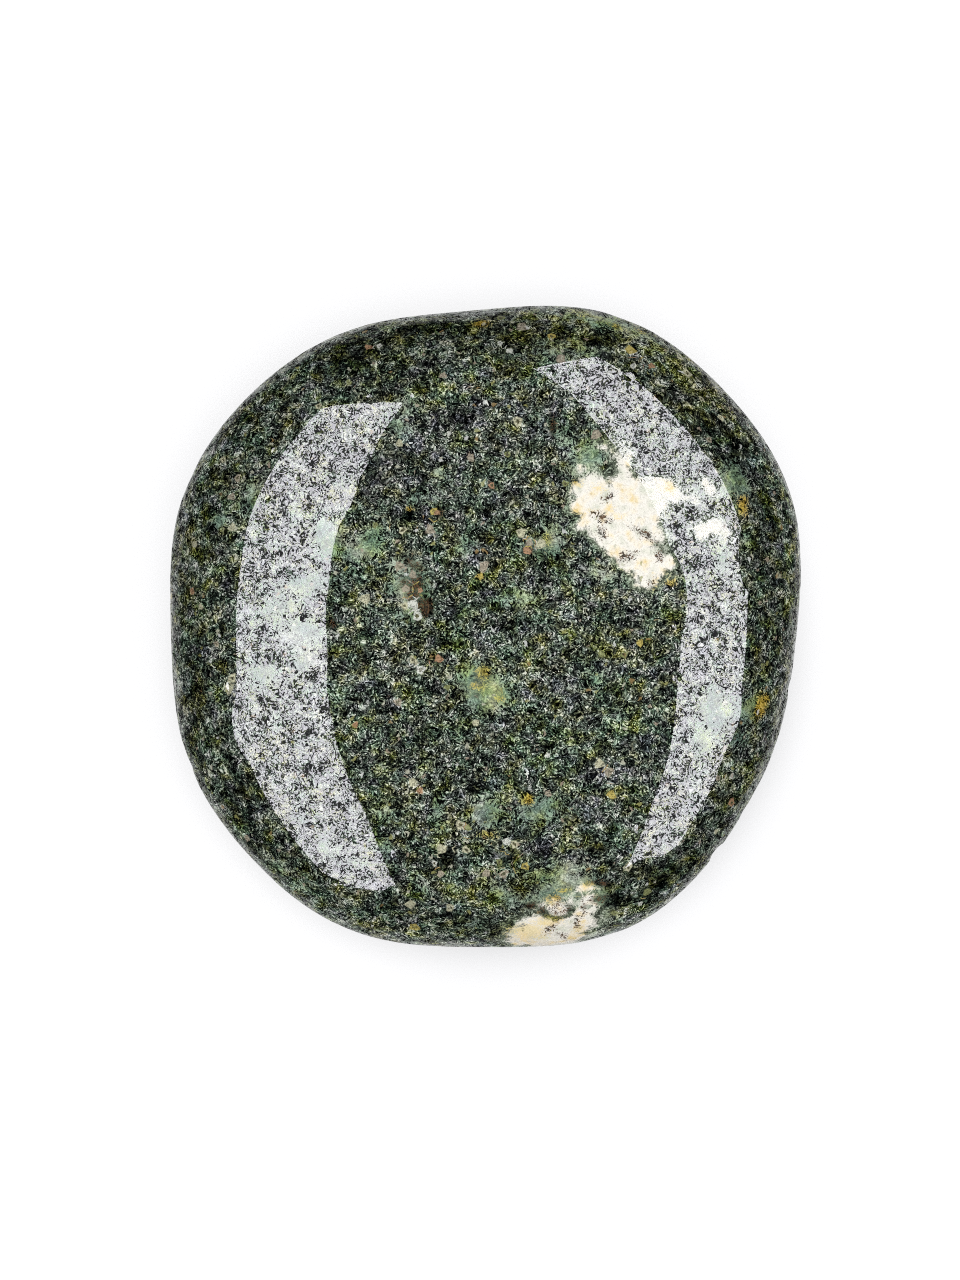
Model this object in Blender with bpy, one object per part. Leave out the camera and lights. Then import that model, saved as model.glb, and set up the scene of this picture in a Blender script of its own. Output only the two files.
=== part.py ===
"""A polished palm stone of spotted dolerite (Preseli bluestone).

One natural piece of rock, ground and polished to a flat rounded pebble: a
rounded-square outline, a domed upper face, a slightly fuller domed underside,
and a small flat spot under it that the stone rests on.

Metres, +Z up. The origin is under the middle of the outline, on the surface
that the stone stands on. +Y is the long way of the outline.
"""

import math

import bmesh
import bpy
from mathutils import Vector

# ---- driving dimensions, in metres -------------------------------------------

MEAN_RADIUS = 0.03100  # of the outline, seen from above

# What grinding left of a true circle: how many lobes, how high they stand, and
# which way the first one points, in degrees anticlockwise from +X.
OUTLINE_LOBES = (
    (2, 0.00050, 67.5),  # a little longer one way
    (3, 0.00047, 39.0),
    (4, 0.00065, 44.0),  # the rounded square
    (5, 0.00019, 7.5),
    (6, 0.00012, 6.5),
    (8, 0.00025, 23.5),  # flats where it was turned on the wheel
)

RIM_HEIGHT = 0.0105  # height of the widest line above the resting surface
CROWN = 0.0110  # rise of the upper dome above the rim
KEEL = 0.0109  # depth of the lower dome under the rim, before its flat is ground

# Section of a dome: height = CROWN * (1 - rho ** SHOULDER) ** (1 / EDGE), where
# rho is 0 on the crown and 1 on the rim.
SHOULDER_TOP, EDGE_TOP = 3.2, 2.0
SHOULDER_BOTTOM, EDGE_BOTTOM = 2.5, 2.0
SHOULDER_LEAN = 0.12  # the upper shoulder is fuller towards +X
CROWN_SHIFT = (0.0003, 0.0013)  # the highest point isn't quite over the middle
ROUNDING = 2.2  # the contours grow round towards the crown at this power of rho

CAGE_DIVISIONS = 5  # of the icosphere that the stone is shaped from
FOOT_BLOCK = 0.080  # side of the block that grinds the resting flat

NODE = "bluestone_palm_stone"


# ---- shape -------------------------------------------------------------------


def rim_radius(angle):
    """Radius of the outline at this angle."""
    return MEAN_RADIUS + sum(
        height * math.cos(lobes * (angle - math.radians(first)))
        for lobes, height, first in OUTLINE_LOBES
    )


def outline_middle():
    """Middle of the outline's box, so that the origin can sit under it."""
    rim = [
        (rim_radius(t) * math.cos(t), rim_radius(t) * math.sin(t))
        for t in (math.radians(i / 4) for i in range(1440))
    ]
    xs, ys = zip(*rim)
    return (min(xs) + max(xs)) / 2, (min(ys) + max(ys)) / 2


MIDDLE = outline_middle()


def pebble_point(direction):
    """Where the point of the unit sphere in this direction lies on the stone."""
    rho = min(math.hypot(direction.x, direction.y), 1.0)
    angle = math.atan2(direction.y, direction.x)
    if direction.z >= 0:
        shoulder = SHOULDER_TOP + SHOULDER_LEAN * math.cos(angle)
        height = RIM_HEIGHT + CROWN * (1 - rho**shoulder) ** (1 / EDGE_TOP)
        slip = 1 - rho * rho
    else:
        height = RIM_HEIGHT - KEEL * (1 - rho**SHOULDER_BOTTOM) ** (1 / EDGE_BOTTOM)
        slip = 0.0
    radius = rho * (MEAN_RADIUS + (rim_radius(angle) - MEAN_RADIUS) * rho**ROUNDING)
    return Vector(
        (
            radius * math.cos(angle) + CROWN_SHIFT[0] * slip - MIDDLE[0],
            radius * math.sin(angle) + CROWN_SHIFT[1] * slip - MIDDLE[1],
            height,
        )
    )


# ---- scene -------------------------------------------------------------------


def clear_scene():
    for obj in list(bpy.data.objects):
        bpy.data.objects.remove(obj, do_unlink=True)


def new_collection(name):
    collection = bpy.data.collections.new(name)
    bpy.context.scene.collection.children.link(collection)
    return collection


def dolerite():
    material = bpy.data.materials.new("polished_spotted_dolerite")
    material.use_nodes = True
    shader = material.node_tree.nodes["Principled BSDF"]
    shader.inputs["Base Color"].default_value = (0.085, 0.098, 0.072, 1.0)
    shader.inputs["Roughness"].default_value = 0.12
    shader.inputs["Metallic"].default_value = 0.0
    return material


def make_stone(collection):
    shape = bmesh.new()
    bmesh.ops.create_icosphere(shape, subdivisions=CAGE_DIVISIONS, radius=1.0)
    for vert in shape.verts:
        vert.co = pebble_point(vert.co.normalized())
    bmesh.ops.recalc_face_normals(shape, faces=shape.faces)
    mesh = bpy.data.meshes.new(NODE)
    shape.to_mesh(mesh)
    shape.free()
    mesh.materials.append(dolerite())
    mesh.shade_smooth()
    mesh.set_sharp_from_angle(angle=math.radians(40))
    stone = bpy.data.objects.new(NODE, mesh)
    collection.objects.link(stone)
    return stone


def make_foot_block(collection):
    """The block whose top face is the resting surface."""
    shape = bmesh.new()
    bmesh.ops.create_cube(shape, size=FOOT_BLOCK)
    mesh = bpy.data.meshes.new("foot_block")
    shape.to_mesh(mesh)
    shape.free()
    block = bpy.data.objects.new("foot_block", mesh)
    block.location = (0, 0, -FOOT_BLOCK / 2)
    block.hide_render = True
    block.display_type = "WIRE"
    collection.objects.link(block)
    return block


def main():
    clear_scene()
    stone = make_stone(new_collection("bluestone"))
    block = make_foot_block(new_collection("cutters"))
    grind = stone.modifiers.new("resting_flat", "BOOLEAN")
    grind.operation = "DIFFERENCE"
    grind.object = block
    grind.solver = "EXACT"


main()
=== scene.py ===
"""Looks of a polished palm stone of spotted dolerite (Preseli bluestone).

The stone is one dense mesh on the same rule as its solid, with the flats that
grinding leaves, a slow undulation, plucked pits and a chipped rim. Its minerals
are a procedural material in the stone's own space, so that they run through it
from face to face: a dark ophitic groundmass, pale altered feldspar, cream and
yellow spots, small crystals, and a polish that is whole on hard minerals and
broken on soft ones.
"""

import math
import random

import bmesh
import bpy
import numpy as np
from mathutils import Matrix, Vector, noise


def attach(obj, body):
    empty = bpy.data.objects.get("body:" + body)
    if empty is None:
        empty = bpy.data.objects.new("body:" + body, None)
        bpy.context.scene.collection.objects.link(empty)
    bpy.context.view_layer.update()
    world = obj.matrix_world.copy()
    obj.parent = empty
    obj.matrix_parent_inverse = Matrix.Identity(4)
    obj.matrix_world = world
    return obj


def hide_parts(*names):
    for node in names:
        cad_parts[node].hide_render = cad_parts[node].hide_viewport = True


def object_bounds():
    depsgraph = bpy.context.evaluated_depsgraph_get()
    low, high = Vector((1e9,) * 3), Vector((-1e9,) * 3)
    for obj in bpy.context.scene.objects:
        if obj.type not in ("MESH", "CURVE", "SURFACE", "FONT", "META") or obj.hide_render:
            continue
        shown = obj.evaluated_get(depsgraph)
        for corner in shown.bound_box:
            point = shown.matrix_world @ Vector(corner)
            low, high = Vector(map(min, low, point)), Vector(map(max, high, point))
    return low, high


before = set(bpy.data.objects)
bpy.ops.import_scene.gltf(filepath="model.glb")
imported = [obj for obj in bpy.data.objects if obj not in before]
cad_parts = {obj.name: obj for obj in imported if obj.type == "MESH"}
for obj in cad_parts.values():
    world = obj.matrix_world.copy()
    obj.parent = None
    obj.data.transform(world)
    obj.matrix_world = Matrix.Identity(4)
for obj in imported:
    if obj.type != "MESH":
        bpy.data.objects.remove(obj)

CAD_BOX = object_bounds()
NODE = "bluestone_palm_stone"
MM = 0.001

# ---- the stone's shape, in millimetres ---------------------------------------

MEAN_RADIUS = 31.00
OUTLINE_LOBES = (
    (2, 0.50, 67.5),
    (3, 0.47, 39.0),
    (4, 0.65, 44.0),
    (5, 0.19, 7.5),
    (6, 0.12, 6.5),
    (8, 0.25, 23.5),
)
RIM_HEIGHT, CROWN, KEEL = 10.5, 11.0, 10.9
SHOULDER_TOP, EDGE_TOP = 3.2, 2.0
SHOULDER_BOTTOM, EDGE_BOTTOM = 2.5, 2.0
SHOULDER_LEAN = 0.12
CROWN_SHIFT = (0.3, 1.3)
ROUNDING = 2.2


def rim_radius(angle):
    return MEAN_RADIUS + sum(
        height * np.cos(lobes * (angle - math.radians(first)))
        for lobes, height, first in OUTLINE_LOBES
    )


_turn = np.radians(np.arange(0, 360, 0.25))
_rim = np.stack([rim_radius(_turn) * np.cos(_turn), rim_radius(_turn) * np.sin(_turn)])
MIDDLE = (_rim.max(1) + _rim.min(1)) / 2


def pebble_points(directions):
    """Where the points of the unit sphere in these directions lie on the stone."""
    rho = np.minimum(np.hypot(directions[:, 0], directions[:, 1]), 1.0)
    angle = np.arctan2(directions[:, 1], directions[:, 0])
    upper = directions[:, 2] >= 0
    shoulder = np.where(upper, SHOULDER_TOP + SHOULDER_LEAN * np.cos(angle), SHOULDER_BOTTOM)
    edge = np.where(upper, EDGE_TOP, EDGE_BOTTOM)
    rise = np.maximum(1 - rho**shoulder, 0) ** (1 / edge)
    height = RIM_HEIGHT + np.where(upper, CROWN * rise, -KEEL * rise)
    slip = np.where(upper, 1 - rho * rho, 0.0)
    radius = rho * (MEAN_RADIUS + (rim_radius(angle) - MEAN_RADIUS) * rho**ROUNDING)
    return np.stack(
        [
            radius * np.cos(angle) + CROWN_SHIFT[0] * slip - MIDDLE[0],
            radius * np.sin(angle) + CROWN_SHIFT[1] * slip - MIDDLE[1],
            height,
        ],
        1,
    )


# ---- where things lie on the upper face --------------------------------------
# Places on the upper face are given as they are seen from above, in the pixels
# of a view 960 wide and 1280 high in which a millimetre on the rim's level is
# PIXELS_PER_MM, and are carried down onto the stone.

PIXELS_PER_MM = 10.5
VIEW_MIDDLE = (485.5, 627.0)
EYE = np.array([-0.52, -1.29, RIM_HEIGHT + 338.6])

_grid = np.linspace(0, math.pi / 2, 400)
_fan = np.radians(np.arange(-180, 181, 1.0))


def upper_table():
    """Points all over the upper face, for finding its height."""
    theta, phi = np.meshgrid(_grid, _fan, indexing="ij")
    return pebble_points(
        np.stack(
            [
                (np.sin(theta) * np.cos(phi)).ravel(),
                (np.sin(theta) * np.sin(phi)).ravel(),
                np.maximum(np.cos(theta), 0).ravel(),
            ],
            1,
        )
    )


UPPER = upper_table()


def on_face(px, py):
    """The point of the upper face that is seen at this pixel, in millimetres."""
    level = np.array(
        [
            (px - VIEW_MIDDLE[0]) / PIXELS_PER_MM,
            (VIEW_MIDDLE[1] - py) / PIXELS_PER_MM,
            RIM_HEIGHT,
        ]
    )
    ray = level - EYE
    ray /= np.linalg.norm(ray)
    offset = UPPER - EYE
    along = offset @ ray
    away = np.linalg.norm(offset - along[:, None] * ray, axis=1)
    return UPPER[int(np.argmin(away))]


# Markings: (px, py, half-width, half-height in px, turn in degrees anticlockwise),
# and for some how far under the surface the middle lies, in mm.
CREAM = (
    (594, 500, 26, 23, 0),
    (612, 520, 30, 26, 0),
    (634, 512, 26, 36, 15),
    (640, 548, 28, 26, 10),
    (652, 566, 20, 20, 0),
    (612, 541, 22, 13, -38),
    (640, 492, 34, 12, -30),
    (665, 490, 26, 9, -20),
    (712, 530, 20, 10, -6),
    (708, 484, 14, 8, -10, 0.15),
    (622, 464, 9, 20, 12),
    (548, 937, 42, 20, 2),
    (592, 483, 15, 7, 0, 0.1),
    (581, 470, 5, 10, 10, 0.25),
    (610, 447, 15, 6, -20, 0.25),
    (575, 924, 28, 14, 20),
    (531, 926, 18, 10, 0),
    (590, 904, 11, 13, 20, 0.15),
    (556, 908, 23, 10, 10, 0.2),
    (582, 888, 16, 8, 12, 0.25),
)
NOT_CREAM = (
    (608, 466, 14, 16, 20),
    (680, 518, 15, 14, 0),
    (665, 548, 14, 4, -32),
    (536, 905, 8, 6, 0, 0.1),
    (573, 902, 6, 4, 0, 0.15),
    (700, 560, 18, 7, -10),
)
PALE = (
    (588, 459, 18, 15, 20, -0.1),
    (608, 449, 16, 5, -15, 0.1),
    (571, 503, 9, 24, 5, 0.25),
    (602, 573, 22, 8, -12, 0.1),
    (556, 540, 12, 14, 0, -0.05),
    (535, 551, 12, 8, 0, -0.15),
    (364, 548, 17, 15, 0, -0.1),
    (372, 532, 12, 8, 0, 0.1),
    (409, 590, 17, 22, 25, 0.1),
    (415, 611, 12, 8, 0, -0.1),
    (401, 567, 12, 8, 20, -0.05),
    (416, 571, 7, 6, 0, 0.05),
    (462, 545, 12, 9, 0, 0.3),
    (416, 494, 11, 7, 0, 0.2),
    (441, 474, 11, 9, 0, 0.4),
    (396, 426, 10, 8, 0),
    (482, 690, 26, 22, -25, 0.15),
    (489, 813, 16, 19, 0, 0.1),
    (540, 812, 26, 14, 10, 0.15),
    (438, 815, 9, 14, 15, 0.35),
    (383, 810, 13, 11, 0, 0.4),
    (384, 848, 8, 18, 0, 0.4),
    (423, 886, 6, 12, 40, 0.2),
    (500, 890, 16, 10, -30, 0.3),
    (735, 482, 15, 22, 20, 0.2),
    (744, 538, 9, 10, 0, 0.4),
    (744, 712, 13, 13, 0, 0.1),
    (738, 738, 9, 7, 0),
    (716, 712, 22, 24, 0, 0.1),
    (708, 742, 14, 16, 15, 0.1),
    (326, 541, 17, 19, -15, -0.05),
    (302, 586, 28, 13, 10),
    (283, 611, 22, 12, 0),
    (300, 636, 24, 16, 0),
    (305, 660, 14, 12, 0),
    (262, 678, 22, 12, 0),
    (330, 850, 13, 15, 20, 0.15),
    (352, 862, 14, 8, 0, 0.25),
    (300, 820, 10, 8, 0, 0.3),
    (399, 406, 9, 8, 0, -0.1),
    (277, 715, 9, 7, 0, 0.2),
    (250, 500, 9, 17, -12, 0.1),
    (216, 524, 11, 10, 0, 0.35),
    (330, 370, 8, 14, 0, 0.35),
    (280, 864, 20, 9, -35, 0.35),
    (300, 884, 14, 7, -35, 0.5),
    (552, 350, 22, 8, 0, 0.25),
    (582, 350, 12, 9, 0, 0.2),
    (700, 492, 18, 10, 0, 0.35),
    (722, 560, 14, 20, 0, 0.3),
    (568, 869, 18, 10, 0, -0.1),
    (544, 878, 15, 7, 0, -0.1),
    (578, 884, 20, 12, 10, -0.3),
    (554, 896, 26, 12, 10, -0.25),
    (588, 902, 16, 18, 20, -0.3),
    (512, 895, 16, 12, -30, 0.4),
    (515, 600, 22, 9, 0, 0.35),
    (594, 676, 12, 14, 0, 0.5),
    (565, 437, 13, 12, 0, 0.55),
    (628, 330, 30, 10, -25, 0.1),
    (608, 322, 20, 9, -8, -0.1),
    (575, 318, 30, 7, 0, 0.3),
    (480, 925, 20, 8, 0, 0.45),
)
OCHRE = (
    (577, 484, 5, 5, 0),
    (599, 489, 7, 4, -10),
    (611, 508, 5, 6, 0),
    (621, 518, 4, 3, 0),
    (592, 512, 6, 3, 0),
    (671, 582, 5, 4, 0),
    (654, 583, 4, 7, 0),
    (527, 932, 18, 8, 0, -0.15),
    (530, 936, 12, 4, 0, -0.3),
    (551, 922, 15, 8, 0, -0.05),
    (578, 929, 6, 9, 0, -0.1),
    (553, 901, 7, 4, 0, -0.1),
    (564, 890, 6, 4, 0),
    (588, 887, 6, 4, 0, -0.1),
    (547, 541, 3, 6, 0),
    (484, 675, 6, 7, 0, -0.1),
    (479, 687, 7, 4, 0, 0.05),
    (497, 699, 5, 3, 0),
    (760, 708, 6, 11, -15),
    (767, 697, 4, 5, 0),
    (744, 507, 5, 9, 0),
    (526, 800, 5, 4, 0, -0.15),
    (485, 835, 10, 4, 0, 0.05),
    (478, 324, 9, 5, 0),
    (618, 327, 12, 5, -15, 0.2),
    (583, 316, 12, 4, 0, 0.25),
    (642, 333, 9, 5, -20, 0.2),
    (409, 509, 3, 3, 0),
    (480, 576, 4, 3, 0),
    (579, 484, 5, 4, 0),
)
BROWN = (
    (607, 497, 5, 3, 40),
    (601, 518, 8, 3, -25),
    (603, 533, 3, 4, 0, -0.1),
    (627, 557, 6, 3, 15, -0.05),
    (645, 535, 8, 2, -30, -0.05),
    (415, 584, 6, 5, 10, -0.15),
    (413, 596, 5, 5, 10, -0.1),
    (425, 608, 5, 6, 0, -0.2),
    (409, 561, 4, 3, 30, -0.05),
    (417, 567, 4, 3, -20, -0.05),
    (404, 584, 3, 3, 0, -0.05),
    (333, 626, 4, 6, 20, 0.1),
    (533, 906, 6, 4, 20, 0.1),
    (544, 911, 2, 5, 20),
    (558, 906, 2, 7, -30),
    (563, 912, 5, 2, 30, -0.05),
    (600, 884, 6, 2, -10),
    (598, 900, 6, 2, 10),
    (584, 908, 2, 6, 0),
    (552, 930, 5, 2, 40, -0.05),
    (564, 937, 5, 2, -40, -0.05),
    (575, 924, 3, 7, 0),
    (660, 557, 6, 6, 0, 0.1),
    (651, 584, 3, 4, 0),
    (439, 513, 4, 3, 0),
    (492, 486, 3, 3, 0),
    (552, 425, 2, 6, 0),
    (527, 551, 4, 3, 0),
)
DARK = (
    (325, 705, 8, 6, 0, 0.2),
    (335, 744, 8, 5, 0, 0.25),
    (339, 805, 7, 6, 0, 0.25),
    (259, 520, 6, 4, -30, 0.1),
    (345, 459, 16, 3, 3, 0.1),
    (260, 722, 8, 5, 0, 0.25),
    (590, 376, 8, 5, -15, 0.1),
    (610, 386, 6, 3, -30, 0.05),
    (613, 412, 5, 4, 0, 0.1),
    (688, 514, 5, 14, 20, 0.05),
    (693, 566, 12, 4, -20, 0.1),
    (608, 470, 9, 9, 0, 0.1),
    (705, 650, 8, 8, 0, 0.3),
    (740, 445, 16, 12, 0, 0.2),
    (597, 345, 12, 7, 0, 0.2),
    (605, 355, 10, 6, 0, 0.2),
    (511, 354, 9, 6, 0, 0.1),
    (365, 360, 14, 8, 0, 0.2),
    (530, 834, 9, 7, 0, 0.1),
    (545, 855, 8, 6, 0, 0.1),
    (510, 856, 9, 5, 0, 0.1),
    (568, 812, 8, 7, 0, 0.15),
    (600, 848, 12, 8, 0, 0.3),
    (450, 860, 14, 10, 0, 0.25),
    (480, 785, 14, 8, 0, 0.3),
    (397, 456, 10, 5, 0, 0.15),
    (378, 478, 10, 7, 0, 0.15),
    (660, 885, 26, 10, 35, 0.2),
    (620, 900, 14, 12, 35, 0.3),
    (640, 745, 12, 8, 0, 0.3),
    (700, 428, 8, 12, 0, 0.2),
    (250, 846, 14, 6, -45, 0.2),
)
# Small crystals: (px, py, half-size in px, kind: 0 cream, 1 white, 2 rust, 3 honey,
# 4 pinkish brown, 5 olive)
CRYSTALS = (
    (399, 567, 5, 4),
    (412, 575, 4, 4),
    (406, 590, 4, 4),
    (420, 591, 3, 2),
    (405, 606, 4, 0),
    (417, 617, 5, 1),
    (365, 601, 5.0, 0),
    (413, 660, 4.0, 0),
    (421, 671, 4.5, 1),
    (484, 566, 5.0, 4),
    (519, 423, 5.0, 0),
    (481, 577, 3.0, 3),
    (630, 350, 5.5, 3),
    (681, 358, 4.5, 0),
    (686, 372, 6.5, 0),
    (430, 530, 4.5, 4),
    (380, 346, 3.0, 1),
    (368, 347, 3.5, 2),
    (399, 444, 4.0, 0),
    (201, 607, 3.5, 0),
    (232, 529, 4.5, 0),
    (194, 547, 3.5, 0),
    (191, 591, 3.5, 2),
    (232, 495, 4.0, 4),
    (236, 480, 4.0, 4),
    (222, 462, 3.5, 0),
    (444, 376, 4.0, 4),
    (439, 659, 4.0, 2),
    (601, 764, 5.0, 0),
    (609, 772, 4.5, 4),
    (547, 755, 2.8, 1),
    (247, 839, 4.0, 4),
    (563, 360, 5.0, 4),
    (413, 783, 4.5, 0),
    (420, 791, 3.5, 2),
    (411, 905, 5.0, 0),
    (731, 804, 4.5, 2),
    (734, 775, 3.0, 1),
    (717, 780, 3.0, 4),
    (442, 849, 5.0, 0),
    (461, 826, 5.5, 0),
    (470, 828, 3.5, 5),
    (468, 851, 4.0, 0),
    (228, 690, 5.0, 0),
    (232, 677, 4.0, 0),
    (320, 405, 3.5, 0),
    (350, 382, 3.0, 5),
    (355, 724, 2.8, 2),
    (505, 842, 4.0, 1),
    (513, 845, 4.0, 0),
    (506, 874, 4.5, 4),
    (451, 909, 4.5, 0),
    (440, 875, 4.0, 4),
    (436, 865, 3.0, 1),
    (785, 577, 3.5, 5),
    (779, 579, 3.5, 0),
    (763, 665, 3.0, 5),
    (522, 327, 5.5, 4),
    (502, 318, 4.5, 5),
    (499, 344, 2.8, 1),
    (511, 352, 3.5, 1),
    (710, 441, 3.5, 4),
    (399, 703, 4.0, 4),
    (476, 724, 3.5, 0),
    (447, 688, 3.0, 5),
    (549, 336, 4.0, 3),
    (640, 643, 3.5, 3),
    (624, 655, 3.5, 5),
    (602, 654, 3.5, 5),
    (652, 367, 4.0, 2),
    (632, 365, 3.0, 1),
    (597, 436, 5.0, 4),
    (402, 531, 3.5, 0),
    (376, 525, 3.0, 5),
    (434, 512, 3.5, 3),
    (436, 513, 3.0, 2),
    (471, 459, 4.0, 4),
    (449, 434, 2.5, 1),
    (216, 644, 3.0, 4),
    (414, 605, 4.5, 1),
    (527, 551, 4.0, 2),
    (521, 533, 4.5, 0),
    (541, 545, 5.0, 0),
    (530, 543, 3.5, 4),
    (417, 929, 5.0, 3),
    (486, 874, 4.0, 4),
    (525, 867, 4.0, 3),
    (497, 862, 3.0, 5),
    (508, 455, 3.0, 5),
    (565, 484, 3.5, 5),
    (720, 417, 3.5, 0),
    (700, 398, 3.0, 0),
    (640, 905, 3.0, 1),
    (612, 915, 4.0, 5),
    (648, 893, 4.5, 5),
    (717, 832, 3.0, 0),
    (492, 486, 3.0, 2),
    (612, 795, 4.5, 3),
    (548, 795, 3.5, 4),
    (628, 868, 4.5, 0),
)
# Zones where the stone leans to another colour or tone: (px, py, half-width,
# half-height, turn, how yellow, how green, how light), the last three from -1 to 1.
ZONES = (
    (600, 345, 120, 34, -8, 0.7, -0.1, 0.0),
    (700, 395, 50, 34, -45, 0.8, -0.2, 0.0),
    (400, 378, 62, 20, 8, 0.0, 0.0, -0.7),
    (612, 388, 30, 22, -30, 0.0, 0.0, -0.5),
    (437, 680, 30, 24, 0, 0.0, 0.0, -0.5),
    (437, 775, 40, 24, 0, 0.0, 0.0, -0.5),
    (390, 872, 62, 22, -5, 0.0, 0.0, -0.7),
    (570, 892, 34, 24, 10, 0.3, -0.3, 0.9),
    (588, 461, 22, 20, 0, 0.6, -0.5, 0.9),
    (585, 319, 80, 10, -5, 1.0, 0.1, 0.4),
    (658, 350, 36, 15, -38, 1.0, -0.2, 0.0),
    (715, 415, 26, 26, -45, 0.8, -0.1, 0.0),
    (742, 445, 18, 14, 0, 0.0, 0.0, -0.6),
    (480, 325, 17, 9, 0, 0.9, -0.5, 0.1),
    (430, 334, 40, 15, 0, 0.9, 0.0, -0.9),
    (500, 343, 40, 13, 0, 0.5, 0.0, -0.8),
    (550, 336, 36, 9, 0, 0.9, 0.0, -0.5),
    (350, 355, 42, 20, 25, 0.4, -0.2, -0.9),
    (300, 378, 30, 14, 35, 0.1, 0.5, 0.0),
    (252, 430, 24, 32, -35, 0.0, 0.5, 0.0),
    (628, 366, 16, 12, -30, 0.8, -0.2, -0.2),
    (600, 342, 22, 9, 0, 0.3, -0.3, -0.6),
    (735, 484, 20, 22, 20, 0.2, 0.3, 0.3),
    (770, 520, 13, 40, 10, 0.5, 0.0, -0.2),
    (792, 580, 9, 60, 0, 0.8, 0.0, 0.0),
    (762, 600, 18, 60, 0, 0.2, 0.1, -0.3),
    (763, 706, 18, 18, 0, 0.9, -0.4, 0.4),
    (752, 765, 18, 22, 45, 0.5, 0.0, 0.0),
    (738, 795, 28, 13, 45, 0.7, -0.1, 0.0),
    (700, 842, 28, 14, 45, 0.3, 0.0, -0.2),
    (655, 885, 32, 13, 35, 0.2, 0.0, -0.5),
    (480, 900, 26, 18, 0, 0.8, 0.5, 0.0),
    (448, 887, 15, 15, 0, 0.5, 0.7, 0.1),
    (415, 893, 26, 15, 0, 0.3, 0.3, 0.0),
    (420, 934, 16, 8, 0, 0.9, -0.1, 0.0),
    (300, 882, 38, 12, -35, 0.0, 0.7, 0.3),
    (345, 915, 42, 10, -20, 0.1, 0.2, 0.0),
    (252, 842, 22, 13, -45, 0.0, 0.0, -0.4),
    (185, 580, 13, 32, 0, 0.6, 0.0, 0.1),
    (215, 505, 18, 40, 10, 0.0, 0.6, 0.1),
    (192, 655, 14, 34, 0, -0.1, 0.1, -0.5),
    (235, 800, 20, 30, 30, 0.1, 0.2, -0.3),
    (202, 740, 16, 40, 15, 0.1, 0.4, 0.0),
    (400, 480, 50, 48, 0, -0.5, -0.7, -0.4),
    (475, 430, 52, 38, 0, -0.5, -0.5, -0.2),
    (430, 388, 32, 18, 0, 0.6, 0.2, 0.2),
    (545, 372, 22, 18, 0, 0.0, 0.6, 0.2),
    (583, 405, 15, 40, 20, -0.5, 0.0, -0.2),
    (564, 438, 12, 16, 0, 0.0, 0.6, 0.1),
    (500, 500, 45, 22, 0, -0.2, -0.2, -0.1),
    (365, 550, 30, 22, 0, 0.0, 0.9, 0.3),
    (407, 584, 20, 34, 15, 0.1, -1.0, 0.3),
    (478, 690, 24, 18, -25, 0.9, 0.1, 0.0),
    (535, 928, 30, 14, 0, 0.9, -0.2, 0.0),
    (480, 556, 25, 12, 0, -1.0, -0.4, -0.1),
    (515, 597, 28, 13, 0, 0.1, 0.8, 0.3),
    (545, 548, 20, 16, 0, 0.8, -0.5, 0.2),
    (590, 615, 42, 22, 0, -0.4, -0.1, -0.4),
    (622, 645, 36, 14, 0, 0.8, -0.3, 0.0),
    (572, 682, 22, 24, 0, -0.8, -0.1, -0.2),
    (531, 655, 12, 18, 0, 0.8, 0.0, 0.0),
    (598, 678, 14, 16, 0, 0.0, 0.8, 0.1),
    (365, 640, 26, 24, 0, 0.0, 0.6, 0.0),
    (358, 700, 25, 20, 0, -0.8, -0.2, -0.2),
    (405, 652, 22, 20, 0, 0.3, -0.4, 0.0),
    (400, 732, 40, 32, 0, -0.1, -0.1, -0.4),
    (412, 787, 16, 12, 0, 0.6, -0.7, 0.2),
    (352, 772, 15, 20, 0, -0.2, 0.2, -0.2),
    (378, 838, 13, 30, 0, -0.1, 0.9, 0.1),
    (450, 735, 26, 26, 0, 0.0, 0.0, -0.2),
    (472, 782, 34, 16, 0, -0.2, -0.3, -0.4),
    (540, 740, 30, 24, 0, 0.1, 0.4, 0.0),
    (558, 785, 22, 16, 0, 0.5, 0.2, 0.1),
    (603, 760, 16, 12, 0, 0.4, -0.7, 0.2),
    (645, 757, 32, 30, 0, -1.0, -0.6, -0.2),
    (632, 728, 22, 9, 0, 0.5, 0.0, 0.1),
    (592, 818, 26, 16, 0, -0.6, -0.2, -0.1),
    (615, 795, 14, 10, 0, 0.9, -0.3, 0.0),
    (545, 848, 20, 15, 0, -0.9, -0.7, -0.5),
    (508, 795, 11, 12, 0, 1.0, 0.1, 0.0),
    (574, 838, 14, 12, 0, 0.9, 0.1, 0.0),
    (606, 850, 12, 8, 0, 0.5, -0.6, -0.4),
    (442, 862, 26, 16, 0, -0.2, -0.3, -0.5),
    (528, 882, 10, 12, 0, 1.0, 0.1, -0.1),
    (552, 850, 8, 12, 0, 0.8, 0.1, 0.1),
    (622, 830, 12, 30, 0, 0.0, 0.6, 0.0),
    (680, 872, 12, 10, 45, 0.8, 0.3, 0.1),
    (484, 677, 14, 10, 0, 0.9, 0.1, 0.2),
    (700, 640, 30, 40, 0, -0.4, -0.5, 0.0),
    (450, 620, 40, 20, 0, -0.1, 0.1, 0.0),
    (480, 640, 26, 12, 0, -0.2, 0.4, -0.1),
    (415, 700, 30, 14, 0, 0.3, 0.1, -0.1),
)
CRYSTAL_REACH = 1.3  # mm; how far round its middle a crystal is known


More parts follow.
